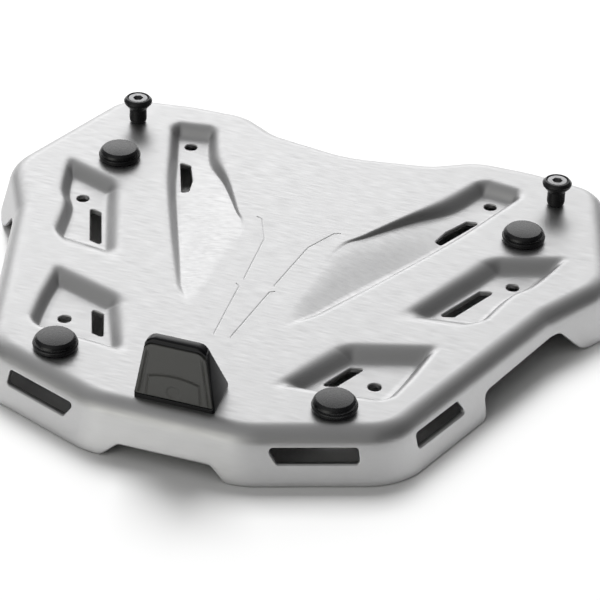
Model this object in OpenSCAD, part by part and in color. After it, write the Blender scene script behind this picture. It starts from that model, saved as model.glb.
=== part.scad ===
// Top case mounting plate for a motorcycle rack.
// One pressed aluminium sheet with a folded skirt carries four rubber pads, two mushroom pins and
// a catch block. The case hooks over the two pins at the front and snaps onto the catch at the rear.
// +Z is up, +Y is the front of the motorcycle, and the origin is the middle of the skirt's lower edge plane.

/* [Sheet] */
// Height of the flat top above the skirt's lower edge
plate_h = 30; // [26:0.5:36]
// Thickness of the aluminium sheet
sheet_t = 3; // [2:0.5:4]
// Outside radius of the bend between the top and the skirt
bend_r = 11; // [8:0.5:13]
// Lean of the skirt away from upright, in degrees
skirt_lean = 15; // [8:1:18]
// Depth of the six pressed pockets
pocket_d = 6.7; // [4:0.1:7.5]

/* [Edge cut-outs] */
// Height of the notch in the rear skirt
notch_h = 7.7; // [5:0.1:10]
// Width of the notch along its top
notch_w = 51; // [40:1:56]
// Height of the cut-out in each side skirt
side_cut_h = 15.5; // [10:0.5:17]
// Height of the long slots in the skirt
skirt_slot_h = 8.4; // [6:0.2:8.6]
// Height of the lower edge of those slots
skirt_slot_z = 12.5; // [10:0.5:13]

/* [Holes] */
// Diameter of the six fixing holes in the pockets
fix_hole_d = 7; // [5:0.1:8]
// Diameter of the holes for the pads' stems
pad_hole_d = 8; // [6:0.1:9]
// Diameter of the holes for the pin screws
pin_hole_d = 6.6; // [6.2:0.1:7]
// Diameter of the holes for the catch screws
catch_hole_d = 5.4; // [5.2:0.1:6]

/* [Rubber pads] */
// Outside diameter of a pad
pad_d = 24.6; // [20:0.2:26]
// Diameter of its flat top
pad_top_d = 18.5; // [14:0.5:20]
// Height of a pad above the sheet
pad_h = 6.8; // [5:0.1:9]

/* [Mushroom pins] */
// Height of a pin above the sheet
pin_h = 16; // [14:0.5:20]
// Diameter of its head
pin_head_d = 17; // [15:0.5:19]
// Diameter of its neck
pin_neck_d = 10.4; // [9:0.1:11.5]

/* [Catch block] */
// Width of the block's foot at the rear
catch_w = 45; // [36:0.2:46]
// Width of the block at its top
catch_top_w = 34.6; // [28:0.2:36]
// Depth of the block at its foot
catch_l = 26.5; // [22:0.5:28]
// Height of the block above the sheet
catch_h = 37.2; // [30:0.2:40]

/* [Hidden] */

// Small overrun of a cutter past the face that it cuts
over = 1;
// Segments of a round hole, a turned part and an outline's corner
hole_fn = 48;
turned_fn = 96;
corner_steps = 5;
// Segments of the bend between the top and the skirt
bend_steps = 4;
// Segments of a pocket's wall, and of each stretch of its floor
wall_steps = 4;
floor_steps = 3;

// How far the skirt's lower edge lies outside the line where the bend starts
bend_run = bend_r * cos(skirt_lean);
bend_drop = bend_r * (1 - sin(skirt_lean));
skirt_run = bend_run + (plate_h - bend_drop) * tan(skirt_lean);

// The line on the flat top where the bend starts: the right half, from the front to the rear.
// Each corner is [x, y, corner radius].
rear_y = -149;
right_corners = [
    [52, 134.5, 40],
    [75, -rear_y, 20],
    [105, -rear_y, 60],
    [143, 143.5, 14],
    [171.5, 53, 25],
    [149, 11, 30],
    [107, -122, 22],
    [40, rear_y, 30]
];
front_corner = [0, 125, 80];
left_corners = [for (c = right_corners) [-c.x, c.y, c.z]];
// The whole line, anticlockwise seen from above
bend_line = concat([front_corner], left_corners, [for (i = [len(right_corners) - 1 : -1 : 0]) right_corners[i]]);

// The front pocket, by stations from its front wall to where it fades out near the catch.
// Each station is [inner rim, inner foot, outer foot, outer rim, [depth inside, depth outside]].
front_pocket = [
    [[82, 136],  [88, 136],   [105, 133], [112, 129.5], [0, 0]],
    [[78, 128],  [86, 126],   [103, 124], [109, 121],   [1, 1]],
    [[67, 103],  [76, 101],   [94, 100],  [101, 98],    [1, 1]],
    [[53, 77],   [59, 80],    [82, 66],   [89, 65],     [0.72, 1]],
    [[38, 49],   [41, 51],    [65, 25],   [71, 24],     [0.3, 0.86]],
    [[29, 30],   [30, 30],    [51, -8],   [56, -9],     [0.04, 0.55]],
    [[26, -15],  [27, -15],   [39, -37],  [42, -38],    [-0.04, 0.27]],
    [[23, -52],  [24, -54],   [26, -59],  [27, -60],    [-0.06, -0.04]]
];
// The middle pocket
middle_pocket = [
    [[107, 53],  [119, 57],   [146, 68],  [154, 71.5],  [0, 0]],
    [[104, 43],  [119, 46.5], [143, 56],  [151, 61],    [1, 1]],
    [[99.5, 29], [113, 30.5], [136.5, 37], [143, 34],   [1, 1]],
    [[95, 17],   [108, 18.5], [128, 21],  [134.5, 19],  [1, 1]],
    [[83, -15],  [96.5, -10], [122, -6],  [128, -8],    [1, 1]],
    [[77, -31],  [90, -27],   [113, -24], [121, -21],   [0, 0]]
];
// The rear pocket
rear_pocket = [
    [[60, -61],  [70, -57.5], [106, -45], [113, -42.5], [0, 0]],
    [[57, -69],  [71.5, -68.5], [103.5, -56.5], [111, -52], [1, 1]],
    [[51, -83],  [65, -82],   [101, -78], [107.5, -77], [1, 1]],
    [[43, -104], [55.5, -101], [97.5, -97], [104, -97], [1, 1]],
    [[37, -118], [48, -113],  [92, -108], [100, -107],  [0, 0]]
];

// Places of the fixing holes, the pads and the pins on the right half
fix_holes = [[92.9, 116.8], [129, 37], [88.3, -85]];
front_pad = [123, 78.3];
rear_pad = [78, -121];
pin_place = [129.6, 123.5];

// Slots for straps in the pocket floors: corners of the right half, then their radius
strap_slots = [
    [[92, 97], [85, 95.5], [77.5, 79], [75, 66.5], [78.7, 64.5]],
    [[120.8, 28.6], [113.2, 26.1], [99.6, -6.4], [107.3, -4]],
    [[78.2, -70.4], [70.6, -72.9], [61.9, -94.2], [69.2, -91.9]]
];
strap_slot_r = 1.2;

// Screws, washers and nuts
m6_d = 6;
m6_washer = [12, 6.4, 1.6];
m6_nut_af = 10;
m6_nut_h = 6;
m5_d = 5;
m5_washer = [10, 5.3, 1];
screw_tip = 2;
pin_screw_head_d = 12.4;
pin_screw_head_h = 2.6;
pin_screw_key = 5;
catch_screw_x = 10;
catch_screw_y = rear_y + 13;
catch_screw_head_d = 9.2;
catch_screw_head_h = 3.2;
catch_screw_bite = 16;

// Undersides and tops that other pieces sit on
top_z = plate_h;
under_z = plate_h - sheet_t;

function unit(v) = v / norm(v);
function lerp(a, b, t) = a + (b - a) * t;
function s_curve(t) = t * t * (3 - 2 * t);
function turned(v, a) = [v.x * cos(a) - v.y * sin(a), v.x * sin(a) + v.y * cos(a)];

// Points of one rounded corner b between a and d, moved outwards by grow
function corner(a, b, d, grow, steps) =
    let (e1 = unit([b.x - a.x, b.y - a.y]))
    let (e2 = unit([d.x - b.x, d.y - b.y]))
    let (turn = atan2(e1.x * e2.y - e1.y * e2.x, e1.x * e2.x + e1.y * e2.y))
    let (side = turn > 0 ? 1 : -1)
    let (inward = unit(e2 - e1))
    let (centre = [b.x, b.y] + inward * b.z / cos(turn / 2))
    let (normal = [e1.y, -e1.x])
    [for (k = [0 : steps]) centre + turned(normal, turn * k / steps) * (side * b.z + grow)];

// A closed anticlockwise outline whose corners [x, y, radius] are rounded, moved outwards by grow
function rounded(corners, grow = 0, steps = corner_steps) =
    let (n = len(corners))
    [for (i = [0 : n - 1]) each corner(corners[(i + n - 1) % n], corners[i], corners[(i + 1) % n], grow, steps)];

function with_radius(points, r) = [for (p = points) [p.x, p.y, r]];

// A closed solid through rings that have the same number of points, from the lowest ring up
module loft(rings) {
    n = len(rings[0]);
    last = len(rings) - 1;
    points = [for (ring = rings) each ring];
    walls = [
        for (r = [0 : last - 1]) for (i = [0 : n - 1])
            let (j = (i + 1) % n)
            each [[r * n + i, (r + 1) * n + i, (r + 1) * n + j], [r * n + i, (r + 1) * n + j, r * n + j]]
    ];
    bottom = [[for (i = [0 : n - 1]) i]];
    top = [[for (i = [n - 1 : -1 : 0]) last * n + i]];
    polyhedron(points, concat(walls, bottom, top), convexity = 10);
}

// The bend line moved outwards by each level's run, and set at its height
function skin_rings(levels) = [for (s = levels) [for (p = rounded(bend_line, s[0])) [p.x, p.y, s[1]]]];

function bend_levels(r, drop) = [
    for (k = [0 : bend_steps])
        let (a = (90 - skirt_lean) * (1 - k / bend_steps))
        [r * sin(a), plate_h - bend_r + r * cos(a)]
];

// The outside of the sheet, filled
module outer_form() {
    loft(skin_rings(concat([[skirt_run, 0]], bend_levels(bend_r))));
}

// The hollow under the sheet
module inner_form() {
    wall = sheet_t / cos(skirt_lean);
    loft(skin_rings(concat([[skirt_run - wall + over * tan(skirt_lean), -over]], bend_levels(bend_r - sheet_t))));
}

// One row of points across a pocket: down the inner wall, over the floor and up the outer wall
function across(row, z) =
    let (d_in = row[4][0] * pocket_d)
    let (d_out = row[4][1] * pocket_d)
    concat(
        [for (k = [0 : wall_steps])
            let (t = k / wall_steps)
            let (p = lerp(row[0], row[1], t))
            [p.x, p.y, z - d_in * s_curve(t)]],
        [for (k = [1 : 2])
            let (t = k / 2)
            let (p = lerp(row[1], row[2], t))
            [p.x, p.y, z - lerp(d_in, d_out, t)]],
        [for (k = [1 : wall_steps])
            let (t = k / wall_steps)
            let (p = lerp(row[2], row[3], t))
            [p.x, p.y, z - d_out * s_curve(1 - t)]]
    );

// A station between two others: places run straight, and the depth follows the wall's curve at the ends
function between(a, b, t, curved) =
    let (p = lerp(a, b, t))
    [p[0], p[1], p[2], p[3], lerp(a[4], b[4], curved ? s_curve(t) : t)];

// A smooth curve through the stations, by their neighbours before and after
function smooth(s, i, t) =
    let (a = s[max(i - 1, 1)])
    let (b = s[i])
    let (c = s[i + 1])
    let (d = s[min(i + 2, len(s) - 2)])
    (b * 2 + (c - a) * t + (a * 2 - b * 5 + c * 4 - d) * t * t + (b * 3 - a - c * 3 + d) * t * t * t) / 2;

// All the rows of a pocket, from its front wall to its rear end
function pocket_rows(s) =
    let (last = len(s) - 1)
    concat(
        [for (k = [0 : wall_steps - 1]) between(s[0], s[1], k / wall_steps, true)],
        [for (i = [1 : last - 2]) for (k = [0 : floor_steps - 1]) smooth(s, i, k / floor_steps)],
        [for (k = [0 : wall_steps]) between(s[last - 1], s[last], k / wall_steps, true)]
    );

// The space above a pocket's surface, up to lid above z
module pocket_space(stations, z, lid) {
    rows = pocket_rows(stations);
    floor_points = [for (row = rows) across(row, z)];
    m = len(floor_points);
    n = len(floor_points[0]);
    points = concat(
        [for (row = floor_points) each row],
        [for (row = floor_points) for (p = row) [p.x, p.y, z + lid]]
    );
    up = m * n;
    quads = [for (r = [0 : m - 2]) for (c = [0 : n - 2]) r * n + c];
    lower = [for (q = quads) each [[q, q + n + 1, q + 1], [q, q + n, q + n + 1]]];
    upper = [for (f = lower) [f[2] + up, f[1] + up, f[0] + up]];
    rim = concat(
        [for (c = [0 : n - 2]) c],
        [for (r = [0 : m - 2]) r * n + n - 1],
        [for (c = [n - 1 : -1 : 1]) (m - 1) * n + c],
        [for (r = [m - 1 : -1 : 1]) r * n]
    );
    sides = [
        for (i = [0 : len(rim) - 1])
            let (a = rim[i])
            let (b = rim[(i + 1) % len(rim)])
            each [[a, b, b + up], [a, b + up, a + up]]
    ];
    polyhedron(points, concat(lower, upper, sides), convexity = 10);
}

// Whatever is drawn, on both sides of the middle plane
module both_sides() {
    children();
    mirror([1, 0, 0]) children();
}

module pockets(z, lid) {
    both_sides() {
        pocket_space(front_pocket, z, lid);
        pocket_space(middle_pocket, z, lid);
        pocket_space(rear_pocket, z, lid);
    }
}

// A flat outline set upright along the skirt face from a to b, cut through the sheet.
// Its own x runs along the face from a, and its y is the height.
module through_face(a, b, points) {
    along = unit(b - a);
    reach = 2 * bend_r;
    foot = a + [along.y, -along.x] * (skirt_run + reach / 2);
    translate([foot.x, foot.y, 0])
        rotate([0, 0, atan2(along.y, along.x)])
            rotate([90, 0, 0])
                translate([0, 0, -reach * 1.5])
                    linear_extrude(reach * 1.5) polygon(points);
}

// Ends of the straight stretches of the bend line that carry slots
side_foot = [107, -122];
side_head = [149, 11];
chamfer_foot = [40, rear_y];

// The long slot in the skirt between the rear and each side
module chamfer_slot() {
    z1 = skirt_slot_z + skirt_slot_h;
    through_face(chamfer_foot, side_foot,
        rounded(with_radius([[15.5, skirt_slot_z], [58, skirt_slot_z], [57, z1], [9.8, z1]], 1.6)));
}

// The long slot near the rear of each side
module side_slot() {
    z1 = skirt_slot_z + skirt_slot_h;
    through_face(side_foot, side_head,
        rounded(with_radius([[11, skirt_slot_z], [54, skirt_slot_z], [49.5, z1], [11, z1]], 1.6)));
}

// The cut-out that lifts the lower edge along each side, with S-shaped ends
module side_cut() {
    through_face(side_foot, side_head,
        rounded([[40, -8, 1], [190, -8, 1], [190, 0, 1], [160, 0, 14], [144.5, side_cut_h + 0.9, 7],
                 [72.2, side_cut_h - 1.2, 6], [70.6, 0, 4], [40, 0, 1]]));
}

// The notch in the rear skirt, with S-shaped ends
module rear_notch() {
    half = notch_w / 2;
    foot = half + 9;
    end = half + 20;
    through_face([0, rear_y], [1, rear_y],
        rounded([[-end, -8, 1], [end, -8, 1], [end, 0, 1], [foot, 0, 5], [half, notch_h, 4],
                 [-half, notch_h, 4], [-foot, 0, 5], [-end, 0, 1]]));
}

// A round hole through the sheet at a place on the top
module top_hole(place, d) {
    translate([place.x, place.y, under_z - pocket_d - over])
        cylinder(h = sheet_t + pocket_d + 2 * over, d = d, $fn = hole_fn);
}

module pressed_sheet() {
    difference() {
        outer_form();
        pockets(top_z, 2 * over);
        difference() {
            inner_form();
            pockets(under_z, 2 * over);
        }
        both_sides() {
            for (slot = strap_slots)
                translate([0, 0, under_z - 2 * pocket_d])
                    linear_extrude(2 * pocket_d + 2 * sheet_t) polygon(rounded(with_radius(slot, strap_slot_r)));
            chamfer_slot();
            side_slot();
            side_cut();
        }
        rear_notch();
    }
}

module plate() {
    color("gainsboro")
        difference() {
            resize([0, 0, 0]) pressed_sheet();
            for (side = [-1, 1]) {
                for (hole = fix_holes) top_hole([side * hole.x, hole.y], fix_hole_d);
                top_hole([side * front_pad.x, front_pad.y], pad_hole_d);
                top_hole([side * rear_pad.x, rear_pad.y], pad_hole_d);
                top_hole([side * pin_place.x, pin_place.y], pin_hole_d);
                top_hole([side * catch_screw_x, catch_screw_y], catch_hole_d);
            }
        }
}

// A rubber pad with a stem that is pushed through the sheet and held by its barb
module pad(place) {
    r = pad_d / 2;
    stem_r = pad_hole_d / 2;
    barb_r = stem_r + 1.2;
    color("dimgray")
        translate([place.x, place.y, top_z])
            rotate_extrude($fn = turned_fn)
                polygon([
                    [0, -sheet_t - 6], [stem_r - 1.4, -sheet_t - 6], [barb_r, -sheet_t - 1.2],
                    [barb_r, -sheet_t], [stem_r, -sheet_t], [stem_r, 0],
                    [r - 0.5, 0], [r, 0.6], [r, 2.7], [r - 0.4, 3.2], [r - 1, 3.3], [r - 1, 3.8],
                    [r - 0.6, 4.1], [r - 0.6, 5], [r - 1, 5.6], [pad_top_d / 2 + 0.6, pad_h - 0.4],
                    [pad_top_d / 2, pad_h - 0.1], [pad_top_d / 2 - 0.4, pad_h], [0, pad_h]
                ]);
}

// A turned mushroom pin: foot, neck and a head with a recess for its screw
module pin(place) {
    head_r = pin_head_d / 2;
    neck_r = pin_neck_d / 2;
    recess_r = pin_screw_head_d / 2 + 0.2;
    bore_r = pin_hole_d / 2;
    color("#1c1c1e")
        translate([place.x, place.y, top_z])
            rotate_extrude($fn = turned_fn)
                polygon([
                    [bore_r, 0], [neck_r - 0.9, 0], [neck_r - 0.2, 1.4], [neck_r, 2.8],
                    [neck_r, 4], [neck_r - 0.1, 8], [neck_r + 0.2, pin_h - 6.6], [neck_r + 1.2, pin_h - 5.4],
                    [head_r - 0.5, pin_h - 3.2], [head_r, pin_h - 2.4], [head_r - 0.1, pin_h - 1.7],
                    [head_r - 1.2, pin_h - 0.4], [head_r - 1.6, pin_h], [recess_r, pin_h],
                    [recess_r, pin_h - pin_screw_head_h], [bore_r, pin_h - pin_screw_head_h]
                ]);
}

// The screw that holds a pin: low head with a hexagon socket, and a plain shank
module pin_screw(place) {
    seat = top_z + pin_h - pin_screw_head_h;
    tip = under_z - m6_washer[2] - m6_nut_h - screw_tip;
    color("silver")
        difference() {
            translate([place.x, place.y, 0])
                rotate_extrude($fn = turned_fn)
                    polygon([
                        [0, tip], [m6_d / 2 - 0.7, tip], [m6_d / 2, tip + 0.7], [m6_d / 2, seat],
                        [pin_screw_head_d / 2, seat], [pin_screw_head_d / 2, seat + 1.7],
                        [pin_screw_head_d / 2 - 0.8, seat + 2.4], [0, seat + pin_screw_head_h]
                    ]);
            translate([place.x, place.y, seat + 0.4])
                cylinder(h = pin_screw_head_h, d = pin_screw_key / cos(30), $fn = 6);
        }
}

// A flat washer with its top face at z
module washer(place, z, size) {
    color("silver")
        translate([place.x, place.y, z - size[2]])
            difference() {
                cylinder(h = size[2], d = size[0], $fn = hole_fn);
                translate([0, 0, -over]) cylinder(h = size[2] + 2 * over, d = size[1], $fn = hole_fn);
            }
}

// A hexagon lock nut under the washer, with its round collar at the bottom
module pin_nut(place) {
    collar_h = 2;
    z = under_z - m6_washer[2] - m6_nut_h;
    color("silver")
        translate([place.x, place.y, z])
            difference() {
                union() {
                    translate([0, 0, collar_h])
                        cylinder(h = m6_nut_h - collar_h, d = m6_nut_af / cos(30), $fn = 6);
                    cylinder(h = collar_h + 0.1, d = m6_nut_af - 0.6, $fn = hole_fn);
                }
                translate([0, 0, -over]) cylinder(h = m6_nut_h + 2 * over, d = m6_d, $fn = hole_fn);
            }
}

// The catch block's outline at one height: width w at the rear and front_w at the front, with rounded corners
module catch_slice(w, front_w, y0, y1, z, h, r) {
    translate([0, 0, z])
        linear_extrude(h)
            polygon(rounded([[-w / 2, y0, r], [w / 2, y0, r], [front_w / 2, y1, r], [-front_w / 2, y1, r]]));
}

catch_face_lean = atan2(1.5, catch_h);
// Width of the foot at the front, height of the foot's upright sides, and depth of the top
catch_front_w = 41;
catch_foot_h = 4;
catch_top_l = 6.4;
// Radius of the two upper corners, and how far the top edges draw in
catch_shoulder = 6;
catch_edge = 1;
// Thickness of the cover, the gap round it, and how far it stands out of the face
cover_t = 2.6;
cover_fit = 0.15;
cover_proud = 0.6;

// Corners of the cover's outline: its own x is across, and its y runs up the face
cover_corners = [
    [-catch_w / 2 + 0.9, 3, 1.2], [catch_w / 2 - 0.9, 3, 1.2],
    [catch_top_w / 2 - 1, catch_h - 3, 5], [-catch_top_w / 2 + 1, catch_h - 3, 5]
];

// A flat shape stood up in the block's leaning rear face, from depth behind the face to proud of it
module on_catch_face(depth, proud) {
    translate([0, rear_y, top_z])
        rotate([90 - catch_face_lean, 0, 0])
            translate([0, 0, -depth])
                linear_extrude(depth + proud) children();
}

module catch_body() {
    face_shift = catch_h * tan(catch_face_lean);
    color("#141416")
        difference() {
            hull() {
                catch_slice(catch_w - 0.8, catch_front_w - 0.8, rear_y + 0.4, rear_y + catch_l - 0.4, top_z, 1, 3);
                catch_slice(catch_w, catch_front_w, rear_y, rear_y + catch_l, top_z + 1, catch_foot_h - 1, 3);
                for (a = [0 : 30 : 90])
                    let (w = catch_top_w - 2 * catch_shoulder * (1 - cos(a)))
                    catch_slice(w, w, rear_y + face_shift + catch_edge * sin(a),
                                rear_y + face_shift + catch_top_l - catch_edge * sin(a),
                                top_z + catch_h - 0.1 - catch_shoulder * (1 - sin(a)), 0.1, 1.6);
            }
            on_catch_face(cover_t + cover_fit, 4) polygon(rounded(cover_corners, cover_fit));
            for (side = [-1, 1])
                translate([side * catch_screw_x, catch_screw_y, top_z - over])
                    cylinder(h = catch_screw_bite + over, d = m5_d, $fn = hole_fn);
        }
}

// The moulded cover in the face of the block: a raised tab with an arched top between two ribs
module catch_cover() {
    tab_w = 29.2;
    tab_h = 12;
    groove = 0.5;
    seam = [[17.6, 3.8], [18.4, 3.8], [14.4, catch_h - 7], [13.6, catch_h - 7]];
    color("#3a3a3c")
        difference() {
            on_catch_face(cover_t, cover_proud) polygon(rounded(cover_corners));
            on_catch_face(-cover_proud + groove, 1) {
                difference() {
                    cover_tab(tab_w, tab_h);
                    cover_tab(tab_w - 1.8, tab_h - 0.9);
                }
                for (side = [-1, 1])
                    polygon([for (p = seam) [side * p.x, p.y]]);
            }
        }
}

// The tab's outline: straight sides and a shallow arch
module cover_tab(w, h) {
    rise = 2;
    steps = 12;
    polygon(concat(
        [[-w / 2, 2], [w / 2, 2]],
        [for (k = [0 : steps])
            let (t = 1 - 2 * k / steps)
            [w / 2 * t, 3 + h + rise * (1 - t * t)]]
    ));
}

// A pan-head screw from below into the block
module catch_screw(x) {
    seat = under_z - m5_washer[2];
    r = catch_screw_head_d / 2;
    tip = top_z + catch_screw_bite - 1;
    color("silver")
        difference() {
            translate([x, catch_screw_y, 0])
                rotate_extrude($fn = turned_fn)
                    polygon([
                        [0, seat - catch_screw_head_h], [r - 2, seat - catch_screw_head_h],
                        [r - 0.7, seat - catch_screw_head_h + 0.6], [r, seat - 1.4], [r, seat],
                        [m5_d / 2, seat], [m5_d / 2, tip - 0.7], [m5_d / 2 - 0.7, tip], [0, tip]
                    ]);
            translate([x, catch_screw_y, seat - catch_screw_head_h - over])
                cylinder(h = 2 + over, d = 4 / cos(30), $fn = 6);
        }
}

plate();
pad([-front_pad.x, front_pad.y]);  // pad_front_left
pad(front_pad);  // pad_front_right
pad([-rear_pad.x, rear_pad.y]);  // pad_rear_left
pad(rear_pad);  // pad_rear_right
pin([-pin_place.x, pin_place.y]);  // pin_left
pin(pin_place);  // pin_right
pin_screw([-pin_place.x, pin_place.y]);  // pin_screw_left
pin_screw(pin_place);  // pin_screw_right
washer([-pin_place.x, pin_place.y], under_z, m6_washer);  // pin_washer_left
washer(pin_place, under_z, m6_washer);  // pin_washer_right
pin_nut([-pin_place.x, pin_place.y]);  // pin_nut_left
pin_nut(pin_place);  // pin_nut_right
catch_body();
catch_cover();
catch_screw(-catch_screw_x);  // catch_screw_left
catch_screw(catch_screw_x);  // catch_screw_right
washer([-catch_screw_x, catch_screw_y], under_z, m5_washer);  // catch_washer_left
washer([catch_screw_x, catch_screw_y], under_z, m5_washer);  // catch_washer_right
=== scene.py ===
# %% [markdown]
# # A mounting plate for a motorcycle's top case
# The plate is one aluminium sheet, pressed and folded at the edges. On it sit four rubber pads,
# two mushroom pins and a catch block. The solids come from the CAD model, which is loaded as a
# frame. This script gives them the finish, the soft edges and the small lines of the real thing.

# %% Load the frame
import math

import bmesh
import bpy
import numpy as np
from mathutils import Matrix, Vector
from mathutils.bvhtree import BVHTree
from mathutils.geometry import delaunay_2d_cdt


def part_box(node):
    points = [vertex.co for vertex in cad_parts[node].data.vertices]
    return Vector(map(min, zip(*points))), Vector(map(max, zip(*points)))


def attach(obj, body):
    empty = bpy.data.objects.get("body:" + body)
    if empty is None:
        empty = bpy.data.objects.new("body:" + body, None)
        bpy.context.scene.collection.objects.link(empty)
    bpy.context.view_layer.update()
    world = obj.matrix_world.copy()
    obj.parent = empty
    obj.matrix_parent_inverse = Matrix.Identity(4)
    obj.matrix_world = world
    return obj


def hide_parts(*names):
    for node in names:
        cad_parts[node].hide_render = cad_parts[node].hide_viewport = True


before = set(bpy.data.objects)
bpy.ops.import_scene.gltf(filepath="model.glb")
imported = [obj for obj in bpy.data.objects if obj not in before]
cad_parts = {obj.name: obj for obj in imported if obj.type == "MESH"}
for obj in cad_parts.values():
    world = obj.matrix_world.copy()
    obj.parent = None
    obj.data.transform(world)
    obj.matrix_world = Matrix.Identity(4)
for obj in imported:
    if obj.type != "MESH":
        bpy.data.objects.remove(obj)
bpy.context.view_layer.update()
MM = 0.001
BODY = "root"

# %% [markdown]
# ## Sizes that come from the frame
# The pads, pins, screws and the catch block are placed by their nodes' boxes, so they stay where
# the CAD model has them. The sheet's own numbers, such as its height and its bend, are those of
# the model's source, so that the dressed sheet lies on the solid one. All are in millimetres.


# %% Read places
def node_middle(name):
    """Middle of a CAD node in plan, in millimetres."""
    low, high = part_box(name)
    return (low.x + high.x) / 2 / MM, (low.y + high.y) / 2 / MM


TOP = 30.0
SHEET = 3.0
BEND_R = 11.0
LEAN = math.radians(15)
POCKET_DEPTH = 6.7
PAD_PLACES = [node_middle(n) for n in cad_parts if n.startswith("pad_")]
PIN_PLACES = [node_middle(n) for n in ("pin_left", "pin_right")]
CATCH_SCREWS = [node_middle(n) for n in ("catch_screw_left", "catch_screw_right")]
print("pads at", [(round(x), round(y)) for x, y in PAD_PLACES])

# %% [markdown]
# ## Turning arrays of points into meshes
# Most of this object follows rules, such as offsets of one outline, so its points are worked out
# with numpy and handed to Blender at the end. Working in millimetres keeps the numbers readable.


# %% Mesh helpers
def make_mesh(name, points, faces):
    """A mesh object from points in millimetres."""
    mesh = bpy.data.meshes.new(name)
    mesh.from_pydata([tuple(p) for p in np.asarray(points) * MM], [], [tuple(f) for f in faces])
    mesh.update()
    piece = bpy.data.objects.new(name, mesh)
    bpy.context.scene.collection.objects.link(piece)
    return piece


def grid_faces(rows, columns, first=0, closed=False, flip=False):
    """Quads between rows of points. A closed grid joins its last column to its first."""
    faces = []
    for r in range(rows - 1):
        for c in range(columns if closed else columns - 1):
            d = (c + 1) % columns
            quad = [r * columns + c, r * columns + d, (r + 1) * columns + d, (r + 1) * columns + c]
            if flip:
                quad.reverse()
            faces.append([first + i for i in quad])
    return faces


JOIN_GAP = 0.004
FINE_GAP = 0.001
CUTTER_GAP = 0.0001


def clean(piece, gap=JOIN_GAP):
    """Merges doubles, turns all faces outwards and counts the edges that are still open."""
    bm = bmesh.new()
    bm.from_mesh(piece.data)
    bmesh.ops.remove_doubles(bm, verts=bm.verts, dist=gap * MM)
    bmesh.ops.recalc_face_normals(bm, faces=bm.faces)
    open_edges = sum(not e.is_manifold for e in bm.edges)
    bm.to_mesh(piece.data)
    bm.free()
    return open_edges


def smooth(piece, angle=35):
    """Smooth shading, with edges sharper than the angle kept crisp."""
    piece.data.shade_smooth()
    piece.data.set_sharp_from_angle(angle=math.radians(angle))


def baked(piece):
    """Replaces a piece's mesh by what its modifiers make of it."""
    depsgraph = bpy.context.evaluated_depsgraph_get()
    result = bpy.data.meshes.new_from_object(piece.evaluated_get(depsgraph))
    piece.modifiers.clear()
    piece.data = result


def remove(piece):
    """Takes a helper out of the scene."""
    bpy.data.objects.remove(piece, do_unlink=True)


# %% [markdown]
# ## The bend line
# A folded skirt is easiest to draw from the line where the bend starts, on the flat top. Every
# other ring of the skirt is that line moved outwards along its own normals and set lower. The
# line is a list of corners, each rounded with its own radius: some bulge out, and some bend in.


# %% Outlines with rounded corners
def unit(v):
    """The vector, one unit long."""
    return v / np.linalg.norm(v)


def corner_arc(before, corner, after, spacing):
    """Points and outward normals round one corner (x, y, radius) of an anticlockwise outline."""
    a = np.array(before[:2], float)
    b = np.array(corner[:2], float)
    c = np.array(after[:2], float)
    radius = corner[2]
    e1 = unit(b - a)
    e2 = unit(c - b)
    turn = math.atan2(e1[0] * e2[1] - e1[1] * e2[0], e1 @ e2)
    centre = b + unit(e2 - e1) * radius / math.cos(turn / 2)
    steps = max(3, round(abs(turn) * radius / spacing))
    start = math.atan2(-e1[0], e1[1])
    angles = start + turn * np.linspace(0, 1, steps + 1)
    normals = np.stack([np.cos(angles), np.sin(angles)], 1)
    return centre + normals * math.copysign(radius, turn), normals


def outline(corners, spacing, fill=True):
    """A closed outline as points and outward normals. With fill, straight runs are divided too."""
    n = len(corners)
    arcs = [corner_arc(corners[i - 1], corners[i], corners[(i + 1) % n], spacing) for i in range(n)]
    points = []
    normals = []
    for i, (arc, arc_normals) in enumerate(arcs):
        points.extend(arc)
        normals.extend(arc_normals)
        ahead = arcs[(i + 1) % n][0][0]
        run = np.linalg.norm(ahead - arc[-1])
        pieces = max(1, round(run / (2 * spacing))) if fill else 1
        for k in range(1, pieces):
            points.append(arc[-1] + (ahead - arc[-1]) * k / pieces)
            normals.append(arc_normals[-1])
    return np.array(points), np.array(normals)


FRONT = 149
REAR = -149
BEND_SPACING = 1.2
FRONT_MIDDLE = (0, 125, 80)
RIGHT_CORNERS = [
    (52, 134.5, 40),
    (75, FRONT, 20),
    (105, FRONT, 60),
    (143, 143.5, 14),
    (171.5, 53, 25),
    (149, 11, 30),
    (107, -122, 22),
    (40, REAR, 30),
]
LEFT_CORNERS = [(-x, y, r) for x, y, r in RIGHT_CORNERS]
BEND_CORNERS = [FRONT_MIDDLE, *LEFT_CORNERS, *reversed(RIGHT_CORNERS)]
line, line_normals = outline(BEND_CORNERS, BEND_SPACING)
print("the bend line has", len(line), "points")

# %% [markdown]
# ## The cut-outs in the lower edge
# The skirt's lower edge rises in a notch at the rear and in a long cut-out on each side, with
# S-shaped ends. Cutting them with a boolean would leave a hard edge. Here the lower edge is a
# height for each point of the outline instead, so that the rolled edge follows it.


# %% The height of the lower edge
def open_curve(corners, spacing=0.6):
    """A curve through corners (along, height, radius), rounded at all but its two ends."""
    points = [np.array(corners[0][:2], float)]
    for before, corner, after in zip(corners, corners[1:], corners[2:]):
        points.extend(corner_arc(before, corner, after, spacing)[0])
    points.append(np.array(corners[-1][:2], float))
    return np.array(points)


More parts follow.
